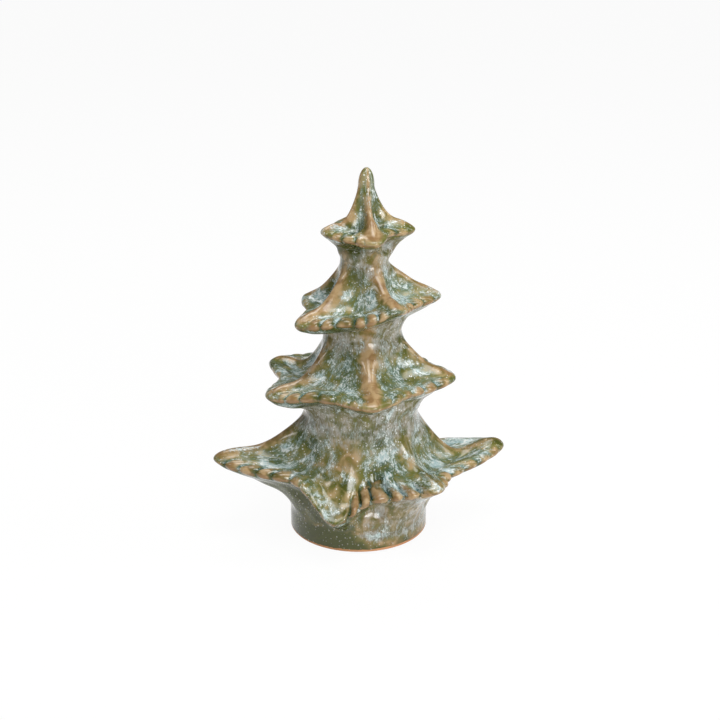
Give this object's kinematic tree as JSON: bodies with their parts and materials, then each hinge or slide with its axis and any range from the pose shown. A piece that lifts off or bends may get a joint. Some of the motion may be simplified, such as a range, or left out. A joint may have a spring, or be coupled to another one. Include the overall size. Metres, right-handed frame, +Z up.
{
  "type": "ceramic christmas tree",
  "caption": "Hollow glazed stoneware fir tree for a table top: tiers of drooping pleated branches on a tapering trunk, with a blunt spire and a round foot on felt pads",
  "frame": {"origin": "on the table under the middle of the tree's bounding box, at the felt pads' underside", "axes": "+Z up along the tree, X across the picture, -Y towards the viewer"},
  "size_m": [0.1346, 0.0865, 0.1708],
  "materials": {
    "glaze": "gloss",
    "felt": "matte"
  },
  "bodies": {
    "root": {"foot": "glaze", "bottom_tier": "glaze", "second_tier": "glaze", "third_tier": "glaze", "crown": "glaze", "felt_pad_1": "felt", "felt_pad_2": "felt", "felt_pad_3": "felt", "felt_pad_4": "felt"}
  },
  "joints": []
}
